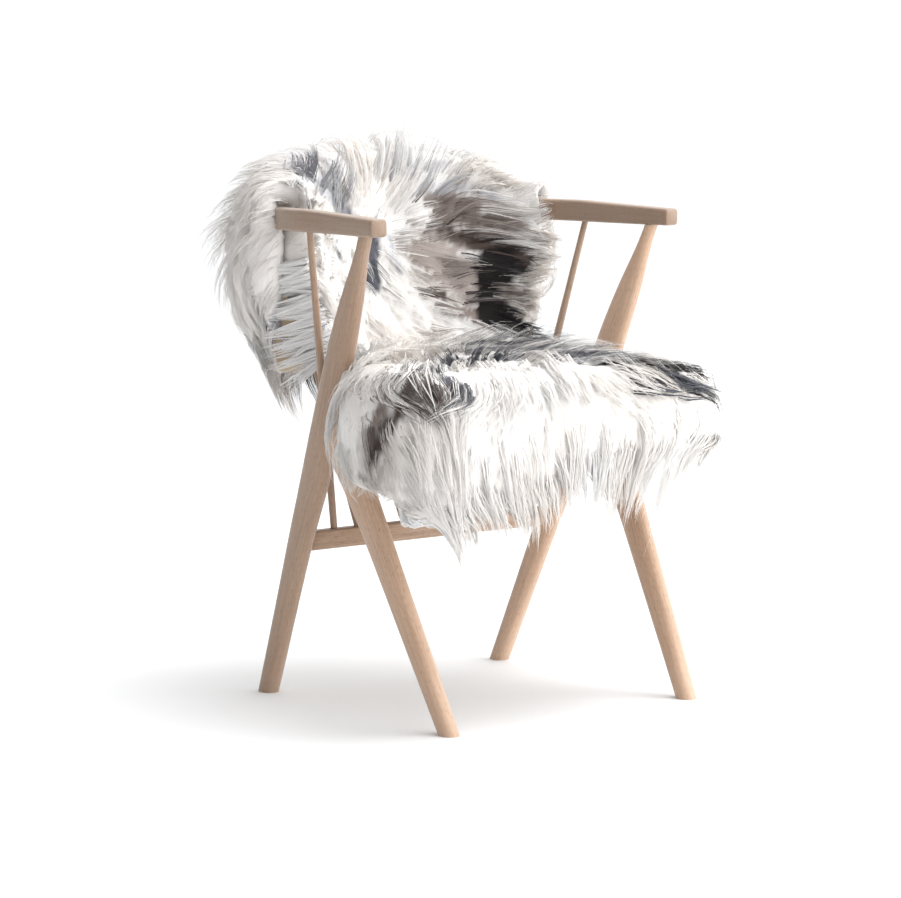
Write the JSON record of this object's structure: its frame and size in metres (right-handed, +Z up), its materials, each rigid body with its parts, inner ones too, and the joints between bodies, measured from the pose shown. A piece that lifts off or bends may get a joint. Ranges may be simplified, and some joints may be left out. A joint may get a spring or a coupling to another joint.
{
  "type": "sheepskin on a wooden chair",
  "caption": "Long-haired sheepskin draped over the back and seat of a plain open wooden armchair with slim spindles and splayed legs.",
  "frame": {"origin": "on the floor under the middle of the whole object's box", "axes": "+Z up, the seat faces -Y, +X towards the sitter's left"},
  "size_m": [0.6239, 0.6717, 0.7999],
  "materials": {
    "sheepskin": "long natural wool, white with grey and black patches",
    "soaped_oak": "matt soap finish"
  },
  "bodies": {
    "root": {"sheepskin": "sheepskin", "locks_front_hem_1": "sheepskin", "locks_front_hem_2": "sheepskin", "locks_front_hem_3": "sheepskin", "locks_back_hem_1": "sheepskin", "locks_back_hem_2": "sheepskin", "locks_back_hem_3": "sheepskin", "locks_back_hem_4": "sheepskin", "locks_back_hem_5": "sheepskin", "locks_near_flap": "sheepskin", "locks_far_flap": "sheepskin", "locks_near_back": "sheepskin", "locks_far_back": "sheepskin", "locks_near_outside": "sheepskin", "locks_far_outside": "sheepskin", "bow_rail": "soaped_oak", "rear_leg_near": "soaped_oak", "rear_leg_far": "soaped_oak", "front_leg_near": "soaped_oak", "front_leg_far": "soaped_oak", "lower_rail": "soaped_oak", "seat_board": "soaped_oak", "side_rail_near": "soaped_oak", "side_rail_far": "soaped_oak", "cross_rail_front": "soaped_oak", "cross_rail_rear": "soaped_oak", "spindle_1": "soaped_oak", "spindle_2": "soaped_oak", "spindle_3": "soaped_oak", "spindle_4": "soaped_oak", "spindle_5": "soaped_oak", "spindle_6": "soaped_oak", "spindle_7": "soaped_oak", "spindle_8": "soaped_oak", "spindle_9": "soaped_oak"}
  },
  "joints": []
}
